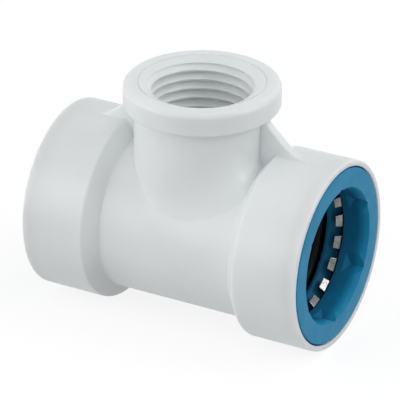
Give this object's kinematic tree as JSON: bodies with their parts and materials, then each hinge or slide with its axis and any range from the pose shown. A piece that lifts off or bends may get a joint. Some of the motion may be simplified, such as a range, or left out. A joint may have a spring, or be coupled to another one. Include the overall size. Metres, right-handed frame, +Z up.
{
  "type": "tee fitting",
  "caption": "Push-fit pipe tee: a white moulded run with blue release-collar sockets at its ends and a flanged, female-threaded branch on top.",
  "frame": {"origin": "on the ground under the branch: below the crossing of the run's and the branch's axes, at the lowest line of the sockets", "axes": "+X along the run towards the right-hand socket, +Z up along the branch"},
  "size_m": [0.0568, 0.036, 0.0471],
  "materials": {
    "white_moulding": "satin white moulded plastic",
    "blue_moulding": "satin blue moulded plastic",
    "spring_steel": "plain spring steel",
    "stainless_steel": "stamped stainless steel",
    "black_rubber": "greased black rubber"
  },
  "bodies": {
    "body": {"tee_body": "white_moulding", "retaining_clip_left": "spring_steel", "retaining_clip_right": "spring_steel", "spacer_ring_left": "blue_moulding", "spacer_ring_right": "blue_moulding", "o_ring_left": "black_rubber", "o_ring_right": "black_rubber"},
    "grip_left": {"grab_ring_left": "stainless_steel"},
    "grip_right": {"grab_ring_right": "stainless_steel"},
    "collar_left": {"release_collar_left": "blue_moulding"},
    "collar_right": {"release_collar_right": "blue_moulding"}
  },
  "joints": [
    {"name": "grip_swivel_left", "type": "hinge", "parent": "body", "child": "grip_left", "pos_m": [-0.0227, 0, 0.018], "axis": [1, 0, 0], "continuous": true},
    {"name": "grip_swivel_right", "type": "hinge", "parent": "body", "child": "grip_right", "pos_m": [0.0227, 0, 0.018], "axis": [1, 0, 0], "continuous": true},
    {"name": "release_left", "type": "slide", "parent": "grip_left", "child": "collar_left", "axis": [1, 0, 0], "range_m": [0, 0.001], "stiffness_N_per_m": 2000, "deforming": ["grab_ring_left"]},
    {"name": "release_right", "type": "slide", "parent": "grip_right", "child": "collar_right", "axis": [-1, 0, 0], "range_m": [0, 0.001], "stiffness_N_per_m": 2000, "deforming": ["grab_ring_right"]}
  ]
}
